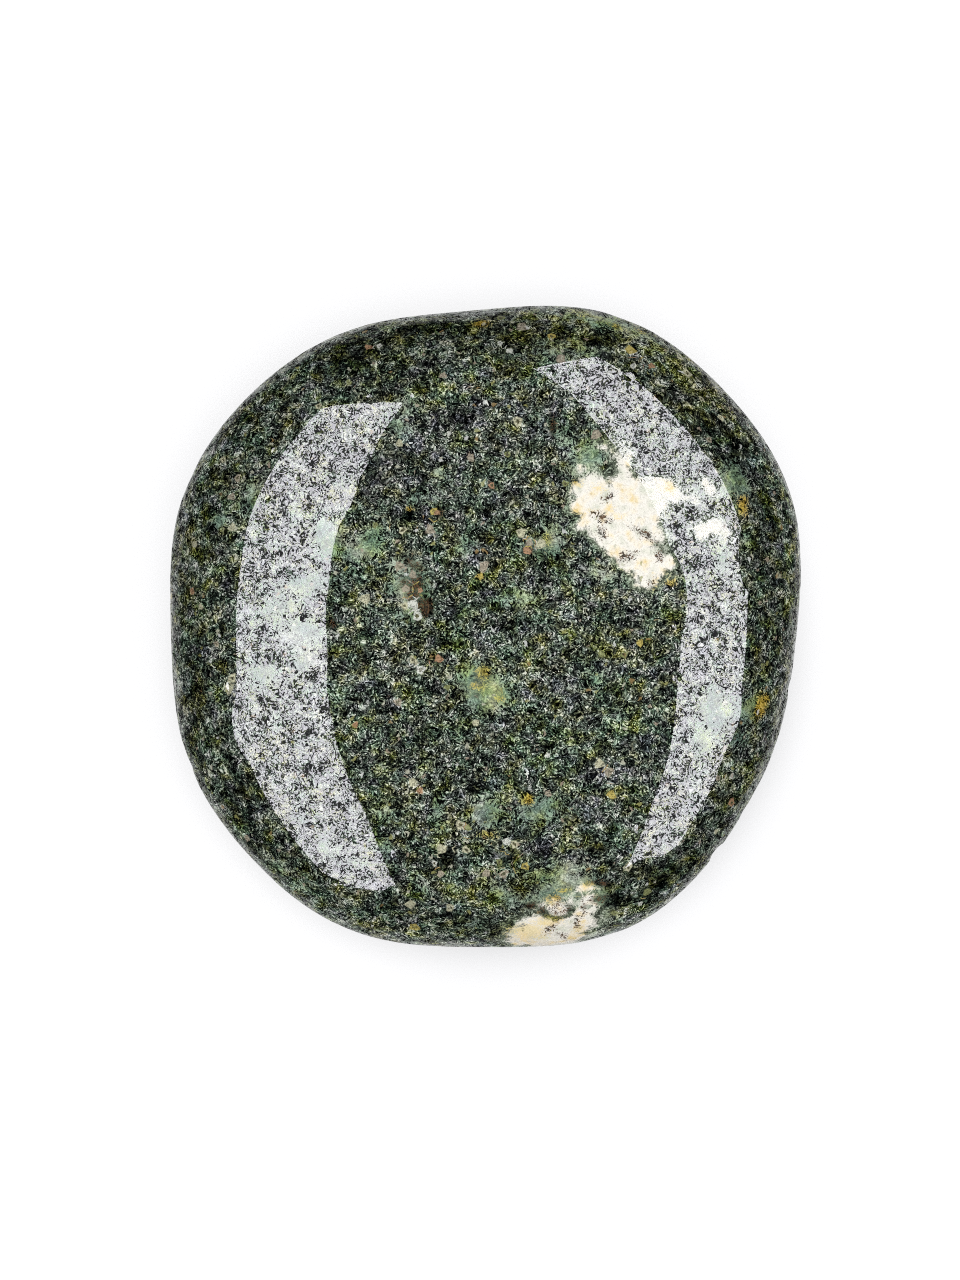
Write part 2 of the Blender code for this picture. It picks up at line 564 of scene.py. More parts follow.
def blobs(rows, grow=1.0):
    """Ellipsoids in millimetres, seated on the upper face: middle, turn, radii, depth."""
    made = []
    for px, py, wide, high, turn, *sunk in rows:
        middle = on_face(px, py)
        rx, ry = wide / PIXELS_PER_MM * grow, high / PIXELS_PER_MM * grow
        made.append((middle, math.radians(turn), (rx, ry, 0.75 * (rx + ry)), sum(sunk)))
    return made


def scattered(seed, count, smallest, largest, lobes=1):
    """Ellipsoids in the sides and the underside, by a seeded rule, each with its lobes."""
    rng = random.Random(seed)
    made = []
    while len(made) < count * lobes:
        z = rng.uniform(-1, 0.25)
        phi = rng.uniform(0, 2 * math.pi)
        r = math.sqrt(1 - z * z)
        point = pebble_points(np.array([[r * math.cos(phi), r * math.sin(phi), z]]))[0]
        if point[2] > RIM_HEIGHT + 1.0:
            continue
        size = smallest + (largest - smallest) * rng.random() ** 2
        for lobe in range(lobes):
            shift = np.array([rng.uniform(-1, 1) for _ in range(3)]) * (size * 0.9 if lobe else 0.0)
            own = size * (0.6 if lobe else 1.0)
            made.append(
                (
                    point + shift,
                    rng.uniform(0, math.pi),
                    (own, own * rng.uniform(0.5, 0.9), own * rng.uniform(0.6, 1.0)),
                    0.0,
                )
            )
    return made


def within(points, shape):
    """How far out each point lies in an ellipsoid: 0 in its middle, 1 on its surface."""
    middle, turn, radii = shape[:3]
    offset = points - middle
    c, s = math.cos(turn), math.sin(turn)
    q = np.stack(
        [
            (offset[:, 0] * c + offset[:, 1] * s) / radii[0],
            (-offset[:, 0] * s + offset[:, 1] * c) / radii[1],
            offset[:, 2] / radii[2],
        ],
        1,
    )
    return np.linalg.norm(q, axis=1)


def depth_in(points, shapes):
    """How deep each point lies in the nearest ellipsoid, in mm; negative outside."""
    deepest = np.full(len(points), -6.0)
    for shape in shapes:
        depth = (1 - within(points, shape)) * min(shape[2][0], shape[2][1]) - shape[3]
        np.maximum(deepest, depth, out=deepest)
    return deepest


def leaning(points):
    """How yellow, how green and how light the stone leans at each point."""
    lean = np.zeros((len(points), 3))
    rows = [(row[:5], row[5:]) for row in ZONES]
    shapes = list(zip(blobs([r[0] for r in rows], 1.25), [r[1] for r in rows]))
    rng = random.Random(41)
    for shape in scattered(42, 60, 1.4, 4.2):
        shapes.append((shape, (rng.uniform(-0.9, 1.0), rng.uniform(-0.8, 0.8), rng.uniform(-0.5, 0.4))))
    for shape, values in shapes:
        share = np.clip(1 - within(points, shape) ** 2, 0, 1)
        lean += (share * share * (3 - 2 * share))[:, None] * np.array(values)
    return np.clip(lean, -1, 1)


def wander(points, size, reach, seed):
    """A smooth vector noise: lattice in mm, reach in mm."""
    shift = Vector((seed * 17.3, seed * 5.1, seed * 9.7))
    out = np.empty_like(points)
    for i, p in enumerate(points / size):
        out[i] = noise.noise_vector(Vector(p) + shift)
    return out * reach


# ---- mesh --------------------------------------------------------------------


def stone_directions():
    """A sphere of unit vectors, finer on its upper side."""
    shape = bmesh.new()
    bmesh.ops.create_icosphere(shape, subdivisions=7, radius=1.0)
    upper = [f for f in shape.faces if f.calc_center_median().z > 0.13]
    edges = {e for f in upper for e in f.edges}
    bmesh.ops.subdivide_edges(shape, edges=list(edges), cuts=1, use_grid_fill=True)
    bmesh.ops.triangulate(shape, faces=[f for f in shape.faces if len(f.verts) > 3])
    for vert in shape.verts:
        vert.co.normalize()
    return shape


def smooth_normals(points, faces):
    a, b, c = points[faces[:, 0]], points[faces[:, 1]], points[faces[:, 2]]
    cross = np.cross(b - a, c - a)
    normals = np.zeros_like(points)
    for k in range(3):
        np.add.at(normals, faces[:, k], cross)
    return normals / np.linalg.norm(normals, axis=1)[:, None]


# The flats that the grinding wheel left: how many, how wide, and how far each is
# cut towards a true plane.
FLATS, FLAT_HALF_WIDTH, FLAT_SHARE = 96, 3.8, 0.60


def ground_flats(points, seed=5):
    rng = random.Random(seed)
    golden = math.pi * (3 - math.sqrt(5))
    for i in range(FLATS):
        z = 1 - 2 * (i + 0.5) / FLATS
        # turned so that most lie on the shoulders, where the stone is rounder
        z = math.copysign(abs(z) ** 0.8, z)
        r = math.sqrt(max(0.0, 1 - z * z))
        phi = i * golden + rng.uniform(-0.25, 0.25)
        way = np.array([r * math.cos(phi), r * math.sin(phi), z])
        reach = points @ way
        top = reach.max()
        seat = points[int(reach.argmax())]
        near = np.linalg.norm(points - seat, axis=1)
        half = FLAT_HALF_WIDTH * rng.uniform(0.7, 1.35)
        ring = (near > 0.9 * half) & (near < 1.1 * half)
        if not ring.any():
            continue
        depth = min(0.12, (top - reach[ring]).mean())
        over = np.clip(reach - (top - depth), 0, None)
        points = points - over[:, None] * way * FLAT_SHARE
    return points


PITS = 420  # plucked pits all over
CHIPS = (  # (px, py, half-width mm, depth mm) on the rim
    (713, 850, 1.1, 0.32),
    (790, 690, 0.9, 0.14),
    (745, 812, 0.8, 0.12),
    (186, 770, 0.8, 0.10),
)


def pit_depths(points, normals, seed=11):
    """Depth of the plucked pits at each point, in mm."""
    rng = random.Random(seed)
    depth = np.zeros(len(points))
    for _ in range(PITS):
        z = rng.uniform(-1, 1)
        phi = rng.uniform(0, 2 * math.pi)
        r = math.sqrt(1 - z * z)
        seat = pebble_points(np.array([[r * math.cos(phi), r * math.sin(phi), z]]))[0]
        size = 0.28 + 0.45 * rng.random() ** 2
        offset = points - seat
        near = np.abs(offset).max(1) < size * 1.8
        if not near.any():
            continue
        d = offset[near]
        turn = rng.uniform(0, math.pi)
        c, s = math.cos(turn), math.sin(turn)
        u = (d[:, 0] * c + d[:, 1] * s) / size
        v = (-d[:, 0] * s + d[:, 1] * c) / (size * rng.uniform(0.55, 0.9))
        w = d[:, 2] / size
        bowl = np.clip(1 - (u * u + v * v + w * w), 0, 1) ** 0.7
        depth[near] = np.maximum(depth[near], bowl * rng.uniform(0.02, 0.05))
    for px, py, size, deep in CHIPS:
        x = (px - VIEW_MIDDLE[0]) / PIXELS_PER_MM
        y = (VIEW_MIDDLE[1] - py) / PIXELS_PER_MM
        a = math.atan2(y, x)
        seat = np.array([float(rim_radius(a)) * math.cos(a), float(rim_radius(a)) * math.sin(a), RIM_HEIGHT + 0.6])
        seat[:2] -= MIDDLE
        d = np.linalg.norm((points - seat) / np.array([size, size, size * 1.6]), axis=1)
        depth = np.maximum(depth, deep * np.clip(1 - d * d, 0, 1))
    return depth


def make_stone():
    shape = stone_directions()
    shape.verts.ensure_lookup_table()
    directions = np.array([v.co[:] for v in shape.verts])
    faces = np.array([[v.index for v in f.verts] for f in shape.faces])
    points = pebble_points(directions)
    points = ground_flats(points)
    normals = smooth_normals(points, faces)

    swell = np.array(
        [
            noise.noise(Vector(p) / 9.0 + Vector((3.1, 7.7, 1.9)))
            + 0.4 * noise.noise(Vector(p) / 4.2 + Vector((13.1, 2.7, 5.9)))
            for p in points
        ]
    )
    points = points + normals * (swell[:, None] * 0.030 - 0.02)

    pits = pit_depths(points, normals)
    points = points - normals * pits[:, None]

    # The resting flat, with its edge worn a little.
    low = points[:, 2]
    ease = 0.03
    points[:, 2] = np.where(low < ease, ease * np.exp(np.minimum(low - ease, 0) / ease), low)
    points[:, 2] = np.where(low < -0.12, 0.0, points[:, 2])

    # Never proud of the solid.
    low_corner, high_corner = np.array(CAD_BOX[0]) / MM, np.array(CAD_BOX[1]) / MM
    points = np.clip(points, low_corner, high_corner)

    for vert, co in zip(shape.verts, points):
        vert.co = Vector(co) * MM
    bmesh.ops.recalc_face_normals(shape, faces=shape.faces)
    mesh = bpy.data.meshes.new("polished_bluestone")
    shape.to_mesh(mesh)
    shape.free()
    mesh.shade_smooth()

    add_markings(mesh, points, pits)
    add_bake_map(mesh, directions, points)

    stone = bpy.data.objects.new("polished_bluestone", mesh)
    bpy.context.scene.collection.objects.link(stone)
    return stone


def store(mesh, name, values, kind="FLOAT"):
    layer = mesh.attributes.new(name, kind, "POINT")
    key = "vector" if kind == "FLOAT_VECTOR" else "value"
    layer.data.foreach_set(key, np.ascontiguousarray(values, np.float32).ravel())


def add_markings(mesh, points, pits):
    """What the material knows of the larger minerals: depths in mm, kept at the vertices."""
    bent = points + wander(points, 2.6, 0.75, 1) + wander(points, 1.1, 0.28, 2)
    cream = depth_in(bent, blobs(CREAM) + scattered(21, 6, 1.4, 3.0, lobes=4))
    cream = np.minimum(cream, -depth_in(bent, blobs(NOT_CREAM)) + 0.15)
    pale = depth_in(bent, blobs(PALE) + scattered(22, 34, 0.6, 1.8, lobes=2))
    close = points + wander(points, 1.1, 0.22, 2)
    ochre = depth_in(close, blobs(OCHRE) + scattered(23, 26, 0.4, 1.1))
    brown = depth_in(close, blobs(BROWN) + scattered(24, 10, 0.4, 0.9))
    dark = depth_in(close, blobs(DARK) + scattered(25, 26, 0.5, 1.2))
    store(mesh, "lean", leaning(bent), "FLOAT_VECTOR")
    store(mesh, "cream_depth", cream)
    store(mesh, "pale_depth", pale)
    store(mesh, "ochre_depth", ochre)
    store(mesh, "brown_depth", brown)
    store(mesh, "dark_depth", dark)
    store(mesh, "pit_depth", pits)

    # Each point knows the crystal nearest to it, or one out of reach.
    rng = random.Random(31)
    seats = [(on_face(px, py), size / PIXELS_PER_MM, kind) for px, py, size, kind in CRYSTALS]
    for _ in range(70):
        z = rng.uniform(-1, 0.3)
        phi = rng.uniform(0, 2 * math.pi)
        r = math.sqrt(1 - z * z)
        point = pebble_points(np.array([[r * math.cos(phi), r * math.sin(phi), z]]))[0]
        if point[2] < RIM_HEIGHT + 2:
            seats.append((point, rng.uniform(0.25, 0.5), rng.choice((0, 0, 1, 2, 3, 4, 5))))
    middles = np.array([s[0] for s in seats])
    gap = np.linalg.norm(points[:, None, :] - middles[None], axis=2)
    best = gap.argmin(1)
    nearest = gap[np.arange(len(points)), best]
    towards = middles[best] - points
    far = points + towards / np.maximum(nearest, 1e-6)[:, None] * 8.0
    at = np.where((nearest < CRYSTAL_REACH)[:, None], middles[best], far)
    store(mesh, "crystal_at", at, "FLOAT_VECTOR")
    store(mesh, "crystal_size", np.array([s[1] for s in seats])[best])
    turns = np.array([[rng.uniform(-0.5, 0.5), rng.uniform(-0.5, 0.5), rng.uniform(0, 6.28)] for _ in seats])
    kinds = np.array([s[2] + rng.uniform(0.1, 0.9) for s in seats])
    store(mesh, "crystal_turn", turns[best], "FLOAT_VECTOR")
    store(mesh, "crystal_kind", kinds[best])


def add_bake_map(mesh, directions, points):
    """Two discs on one square, the upper face on the larger, by distance from the poles."""
    theta = np.radians(np.linspace(0, 100, 401))

    def arc(sign):
        line = pebble_points(
            np.stack([np.sin(theta), 0 * theta, sign * np.cos(theta)], 1)
        )
        step = np.linalg.norm(np.diff(line, axis=0), axis=1)
        # past the rim the line runs on at the same pace
        pace = step[350:358].mean()
        step[358:] = pace
        return np.concatenate([[0], np.cumsum(step)])

    arcs = {1: arc(1), -1: arc(-1)}
    full = {s: np.interp(math.radians(92), theta, arcs[s]) for s in arcs}
    discs = {1: (0.338, 0.338, 0.333), -1: (0.752, 0.752, 0.243)}
    layer = mesh.uv_layers.new(name="OFBake")
    count = len(mesh.loops)
    corner = np.empty(count, np.int32)
    mesh.loops.foreach_get("vertex_index", corner)
    middle = directions[corner].reshape(-1, 3, 3).mean(1)[:, 2]
    sign = np.repeat(np.where(middle > 0, 1, -1), 3)
    d = directions[corner]
    phi = np.arctan2(d[:, 1], d[:, 0])
    uv = np.empty((count, 2))
    for s in (1, -1):
        pick = sign == s
        polar = np.arccos(np.clip(s * d[pick, 2], -1, 1))
        reach = np.interp(polar, theta, arcs[s]) / full[s]
        cx, cy, r = discs[s]
        uv[pick, 0] = cx + r * reach * np.cos(phi[pick])
        uv[pick, 1] = cy + r * reach * np.sin(phi[pick]) * s
    layer.data.foreach_set("uv", uv.astype(np.float32).ravel())


# ---- material ----------------------------------------------------------------


def srgb(r, g, b):
    def linear(v):
        v /= 255
        return v / 12.92 if v <= 0.04045 else ((v + 0.055) / 1.055) ** 2.4

    return (linear(r), linear(g), linear(b), 1.0)


class Graph:
    """Writes a node tree as expressions."""

    def __init__(self, tree):
        self.tree = tree
        self.count = 0

    def node(self, kind, **settings):
        n = self.tree.nodes.new(kind)
        n.location = (220 * (self.count % 24), -260 * (self.count // 24))
        self.count += 1
        for key, value in settings.items():
            setattr(n, key, value)
        return n

    def put(self, socket, value):
        if isinstance(value, bpy.types.NodeSocket):
            self.tree.links.new(value, socket)
        elif value is not None:
            socket.default_value = value

    def math(self, how, a, b=None, c=None, clamp=False):
        n = self.node("ShaderNodeMath", operation=how, use_clamp=clamp)
        for socket, value in zip(n.inputs, (a, b, c)):
            self.put(socket, value)
        return n.outputs[0]

    def vector(self, how, a, b=None, scale=None):
        n = self.node("ShaderNodeVectorMath", operation=how)
        self.put(n.inputs[0], a)
        self.put(n.inputs[1], b)
        if scale is not None:
            self.put(n.inputs["Scale"], scale)
        return n.outputs["Value"] if how in ("LENGTH", "DISTANCE", "DOT_PRODUCT") else n.outputs[0]

    def range(self, value, low, high, to_low=0.0, to_high=1.0, smooth=True):
        n = self.node("ShaderNodeMapRange", interpolation_type="SMOOTHSTEP" if smooth else "LINEAR")
        n.clamp = True
        for socket, v in zip(n.inputs, (value, low, high, to_low, to_high)):
            self.put(socket, v)
        return n.outputs[0]

    def noise(self, where, scale, detail=2.0, rough=0.5, warp=0.0, colour=False):
        n = self.node("ShaderNodeTexNoise", noise_dimensions="3D")
        self.put(n.inputs["Vector"], where)
        n.inputs["Scale"].default_value = scale
        n.inputs["Detail"].default_value = detail
        n.inputs["Roughness"].default_value = rough
        n.inputs["Distortion"].default_value = warp
        return n.outputs["Color" if colour else "Fac"]

    def cells(self, where, scale, out="Distance", feature="F1", metric="EUCLIDEAN", spread=1.0):
        n = self.node("ShaderNodeTexVoronoi", voronoi_dimensions="3D", feature=feature)
        if feature != "DISTANCE_TO_EDGE":
            n.distance = metric
        self.put(n.inputs["Vector"], where)
        n.inputs["Scale"].default_value = scale
        n.inputs["Randomness"].default_value = spread
        return n.outputs[out] if out else n

    def stretch(self, where, turn, scale):
        n = self.node("ShaderNodeMapping", vector_type="TEXTURE")
        self.put(n.inputs["Vector"], where)
        n.inputs["Rotation"].default_value = turn
        n.inputs["Scale"].default_value = scale
        return n.outputs[0]

    def mix(self, share, a, b, how="MIX"):
        n = self.node("ShaderNodeMix", data_type="RGBA", blend_type=how)
        n.clamp_factor = True
        self.put(n.inputs["Factor"], share)
        self.put(n.inputs[6], a)
        self.put(n.inputs[7], b)
        return n.outputs[2]

    def blend(self, share, a, b):
        n = self.node("ShaderNodeMix", data_type="FLOAT")
        n.clamp_factor = True
        self.put(n.inputs["Factor"], share)
        self.put(n.inputs[2], a)
        self.put(n.inputs[3], b)
        return n.outputs[0]

    def ramp(self, value, stops, how="LINEAR"):
        n = self.node("ShaderNodeValToRGB")
        self.put(n.inputs[0], value)
        band = n.color_ramp
        band.interpolation = how
        while len(band.elements) > 1:
            band.elements.remove(band.elements[-1])
        band.elements[0].position, band.elements[0].color = stops[0][0], stops[0][1]
        for at, colour in stops[1:]:
            band.elements.new(at).color = colour
        return n.outputs[0]

    def split(self, colour):
        n = self.node("ShaderNodeSeparateColor")
        self.put(n.inputs[0], colour)
        return n.outputs[0], n.outputs[1], n.outputs[2]

    def known(self, name, vector=False):
        n = self.node("ShaderNodeAttribute", attribute_name=name, attribute_type="GEOMETRY")
        return n.outputs["Vector" if vector else "Fac"]


def tint(r, g, b):
    return (r, g, b, 1.0)


def dolerite():
    material = bpy.data.materials.new("polished_spotted_dolerite")
    material.use_nodes = True
    tree = material.node_tree
    shader = tree.nodes["Principled BSDF"]
    g = Graph(tree)

    place = g.node("ShaderNodeTexCoord").outputs["Object"]
    p = g.vector("SCALE", place, scale=1000.0)  # millimetres

    bend = g.vector("SUBTRACT", g.noise(p, 1.1, 1.0, 0.55, colour=True), (0.5, 0.5, 0.5))
    q = g.vector("ADD", p, g.vector("SCALE", bend, scale=0.9))

    # Feldspar laths lie in little sheaves, each its own way.
    sheaf = g.cells(q, 1.1, out="Color")
    pick, shade, hue_of = g.split(sheaf)
    spin = g.node("ShaderNodeVectorRotate", rotation_type="EULER_XYZ")
    g.put(spin.inputs["Vector"], q)
    g.put(spin.inputs["Rotation"], g.vector("SCALE", sheaf, scale=6.28))
    turned = g.stretch(spin.outputs[0], (0, 0, 0), (0.11, 0.29, 0.15))
    lath, lath2, _ = g.split(g.cells(turned, 1.0, out="Color"))
    grit = g.noise(q, 7.0, 1.0, 0.6)
    fine = g.math("ADD", g.math("MULTIPLY", lath, 0.34), g.math("MULTIPLY", grit, 0.66))

    clump = g.noise(q, 0.95, 2.0, 0.55)
    drift = g.noise(p, 0.25, 1.0, 0.5)
    lift = g.math("MULTIPLY", g.math("SUBTRACT", clump, 0.5), 0.80)
    lift = g.math("ADD", lift, g.math("MULTIPLY", g.math("SUBTRACT", drift, 0.5), 0.25))
    lift = g.math("ADD", lift, g.math("MULTIPLY", g.math("SUBTRACT", shade, 0.5), 0.10))
    zone = g.node("ShaderNodeSeparateXYZ")
    g.put(zone.inputs[0], g.known("lean", vector=True))
    yellow, green, bright = zone.outputs
    lift = g.math("ADD", lift, g.math("MULTIPLY", bright, 0.12))
    away = g.vector("LENGTH", g.vector("MULTIPLY", p, (1.0, 1.0, 0.0)))
    lift = g.math("MULTIPLY", lift, g.range(away, 24.0, 28.5, 1.0, 1.4))
    tone = g.math("ADD", g.math("MULTIPLY_ADD", fine, 1.90, -0.455), lift)

    # Mafic grains: black, a little apart from each other.
    mafic = g.cells(q, 0.66, out="Distance")
    mafic = g.math("ADD", mafic, g.math("MULTIPLY", g.math("SUBTRACT", grit, 0.5), 0.8))
    mafic = g.range(mafic, 0.32, 0.20)
    dark_at = g.math("ADD", g.known("dark_depth"), g.math("MULTIPLY", g.math("SUBTRACT", fine, 0.5), 2.0))
    dark = g.range(dark_at, -0.05, 0.30)
    mafic = g.math("MAXIMUM", g.math("MULTIPLY", mafic, 0.6), g.math("MULTIPLY", dark, 0.65))
    tone = g.math("SUBTRACT", tone, g.math("MULTIPLY", mafic, 0.22))

    ground = g.ramp(
        tone,
        (
            (0.02, srgb(0, 1, 1)),
            (0.20, srgb(5, 6, 6)),
            (0.38, srgb(30, 33, 29)),
            (0.52, srgb(63, 68, 59)),
            (0.68, srgb(108, 115, 100)),
            (0.86, srgb(180, 184, 168)),
            (1.00, srgb(240, 240, 226)),
        ),
    )
    hue = g.noise(q, 0.62, 2.0, 0.6)
    hue = g.math("ADD", g.range(hue, 0.25, 0.75, smooth=False), g.math("MULTIPLY", g.math("SUBTRACT", hue_of, 0.5), 0.16))
    hue = g.math("ADD", hue, g.math("MULTIPLY", yellow, 0.22))
    tints = g.ramp(
        hue,
        (
            (0.08, tint(0.88, 0.92, 1.25)),
            (0.26, tint(0.98, 0.99, 1.08)),
            (0.40, tint(0.84, 1.03, 1.00)),
            (0.54, tint(0.95, 1.03, 0.90)),
            (0.66, tint(0.99, 1.05, 0.74)),
            (0.80, tint(1.02, 1.07, 0.50)),
            (0.95, tint(1.10, 1.08, 0.26)),
        ),
    )
    verdure = g.math("ADD", g.noise(q, 0.55, 2.0, 0.6), g.math("MULTIPLY", green, 0.11))
    greens = g.ramp(
        verdure,
        (
            (0.30, tint(1.10, 0.95, 1.05)),
            (0.46, tint(1.03, 0.99, 1.02)),
            (0.56, tint(0.94, 1.01, 0.97)),
            (0.70, tint(0.80, 1.05, 0.90)),
        ),
    )
    tints = g.mix(1.0, tints, greens, "MULTIPLY")
    ground = g.mix(g.range(tone, 0.70, 0.98, 0.95, 0.35), ground, tints, "MULTIPLY")

    # Pale altered feldspar, grown into the groundmass.
    ragged = g.math("SUBTRACT", fine, 0.5)
    ragged2 = g.math("SUBTRACT", clump, 0.5)
    pale_at = g.math("ADD", g.known("pale_depth"), g.math("MULTIPLY", ragged, 2.6))
    pale_at = g.math("ADD", pale_at, g.math("MULTIPLY", ragged2, 1.6))
    pale = g.range(pale_at, -0.25, 0.55)
    pale_hue = g.noise(p, 0.35, 1.0, 0.5)
    pale_colour = g.ramp(
        pale_hue,
        (
            (0.32, srgb(114, 138, 120)),
            (0.46, srgb(140, 160, 138)),
            (0.56, srgb(166, 180, 154)),
            (0.70, srgb(190, 194, 174)),
        ),
    )
    pale_colour = g.mix(0.45, pale_colour, tints, "MULTIPLY")
    pale_tone = g.range(tone, 0.10, 1.0, 0.30, 1.30, smooth=False)
    pale_colour = g.mix(1.0, pale_colour, pale_tone, "MULTIPLY")
    colour = g.mix(g.math("MULTIPLY", pale, 0.82), ground, pale_colour)

    # Cream and pinkish white spots.
    cream_at = g.math("ADD", g.known("cream_depth"), g.math("MULTIPLY", ragged, 0.8))
    cream_at = g.math("ADD", cream_at, g.math("MULTIPLY", ragged2, 1.6))
    halo = g.range(cream_at, -0.75, 0.10)
    cream = g.range(cream_at, -0.12, 0.42)
    cream_hue = g.noise(p, 0.62, 3.0, 0.55)
    cream_colour = g.ramp(
        cream_hue,
        (
            (0.27, srgb(204, 209, 190)),
            (0.38, srgb(228, 227, 211)),
            (0.50, srgb(241, 237, 225)),
            (0.60, srgb(242, 232, 208)),
            (0.72, srgb(232, 208, 146)),
        ),
    )
    cream_tone = g.range(fine, 0.20, 0.52, 0.80, 1.03)
    cream_colour = g.mix(1.0, cream_colour, cream_tone, "MULTIPLY")
    colour = g.mix(g.math("MULTIPLY", halo, 0.55), colour, g.mix(1.0, srgb(172, 186, 158), pale_tone, "MULTIPLY"))
    colour = g.mix(cream, colour, cream_colour)

    # Iron: ochre stains and brown grains.
    ochre_at = g.math("ADD", g.known("ochre_depth"), g.math("MULTIPLY", ragged, 1.6))
    ochre = g.range(ochre_at, -0.10, 0.45)
    ochre_colour = g.mix(g.range(pale_hue, 0.4, 0.6), srgb(206, 172, 62), srgb(188, 182, 88))
    ochre_colour = g.mix(g.math("MULTIPLY", cream, 0.75), ochre_colour, srgb(238, 208, 132))
    ochre_tone = g.math("MAXIMUM", g.range(tone, 0.1, 0.8, 0.35, 1.15, smooth=False), g.math("MULTIPLY", cream, 1.1))
    ochre_colour = g.mix(1.0, ochre_colour, ochre_tone, "MULTIPLY")
    ochre = g.math("MULTIPLY", ochre, g.math("MULTIPLY_ADD", cream, -0.22, 0.78))
    colour = g.mix(ochre, colour, ochre_colour)
    brown_at = g.math("ADD", g.known("brown_depth"), g.math("MULTIPLY", ragged, 1.5))
    brown = g.range(brown_at, -0.10, 0.15)
    rust = g.mix(g.range(lath2, 0.35, 0.70), srgb(36, 29, 23), srgb(98, 72, 50))
    colour = g.mix(g.math("MULTIPLY", brown, g.range(grit, 0.36, 0.50, 0.25, 0.95)), colour, rust)

    # Small crystals: four- and five-sided, some with a darker heart.
    off = g.vector("SUBTRACT", g.vector("ADD", p, g.vector("SCALE", bend, scale=0.25)), g.known("crystal_at", vector=True))
    off = g.vector("SCALE", off, scale=g.math("DIVIDE", 1.0, g.known("crystal_size")))
    kind = g.known("crystal_kind")
    facet = g.node("ShaderNodeVectorRotate", rotation_type="EULER_XYZ")
    g.put(facet.inputs["Vector"], off)
    g.put(facet.inputs["Rotation"], g.known("crystal_turn", vector=True))
    sides = g.node("ShaderNodeSeparateXYZ")
    g.put(sides.inputs[0], facet.outputs[0])
    sx, sy, sz = sides.outputs
    reach = g.math("MAXIMUM", g.math("ABSOLUTE", sx), g.math("MULTIPLY", g.math("ABSOLUTE", sz), 1.15))
    reach = g.math("MAXIMUM", reach, g.math("MULTIPLY", sy, 1.35))
    slant = g.math("SUBTRACT", g.math("MULTIPLY", sx, 0.62), g.math("MULTIPLY", sy, 0.86))
    reach = g.math("MAXIMUM", reach, slant)
    slant = g.math("SUBTRACT", g.math("MULTIPLY", sx, -0.80), g.math("MULTIPLY", sy, 0.66))
    reach = g.math("MAXIMUM", reach, slant)
    reach = g.math("ADD", reach, g.math("MULTIPLY", ragged, 0.55))
    crystal = g.range(reach, 0.95, 0.84)
    heart = g.range(reach, 0.50, 0.30)
    crystal_colour = g.ramp(
        g.math("DIVIDE", kind, 6.0),
        (
            (0.0, srgb(200, 198, 166)),
            (1 / 6, srgb(218, 220, 208)),
            (2 / 6, srgb(182, 144, 112)),
            (3 / 6, srgb(190, 174, 96)),
            (4 / 6, srgb(172, 162, 142)),
            (5 / 6, srgb(142, 148, 98)),
        ),
        "CONSTANT",
    )
    crystal_colour = g.mix(g.math("MULTIPLY", heart, g.range(g.math("FRACT", g.math("MULTIPLY", kind, 7.3)), 0.55, 0.75)), crystal_colour, srgb(98, 94, 68))
    crystal_colour = g.mix(1.0, crystal_colour, g.range(fine, 0.25, 0.65, 0.55, 1.12, smooth=False), "MULTIPLY")
    crystal = g.math("MULTIPLY", crystal, g.range(grit, 0.34, 0.46, 0.40, 1.0))
    colour = g.mix(g.math("MULTIPLY", crystal, 0.88), colour, crystal_colour)

    # Specks of the same minerals, a third of a millimetre across and far apart.
    specks = g.cells(q, 1.25, out=None)
    lot, lot2, _ = g.split(specks.outputs["Color"])
    speck = g.math("ADD", specks.outputs["Distance"], g.math("MULTIPLY", ragged, -0.5))
    speck = g.math("MULTIPLY", g.range(speck, 0.27, 0.17), g.math("GREATER_THAN", lot, 0.77))
    speck_colour = g.ramp(
        lot2,
        (
            (0.0, srgb(192, 192, 170)),
            (0.38, srgb(150, 150, 92)),
            (0.55, srgb(148, 124, 82)),
            (0.64, srgb(160, 146, 128)),
            (0.84, srgb(214, 216, 210)),
        ),
        "CONSTANT",
    )
    colour = g.mix(g.math("MULTIPLY", speck, 0.72), colour, speck_colour)

    # Painted shade: the base colour is darkened from 22.5 to 28.5 mm out, towards the rim, where the rounded sides
    # take less light. From 28.6 to 30.4 mm it is made lighter again, painted light at the very rim. The cream is
    # left out of both and made 1.06 times lighter.
    edge = g.range(away, 22.5, 28.5, 1.0, 0.80)
    # painted light: the outermost rim is made lighter again
    edge = g.math("MULTIPLY", edge, g.range(away, 28.6, 30.4, 1.0, 1.40))
    edge = g.blend(cream, edge, 1.06)
    colour = g.mix(1.0, colour, edge, "MULTIPLY")
    g.put(shader.inputs["Base Color"], colour)

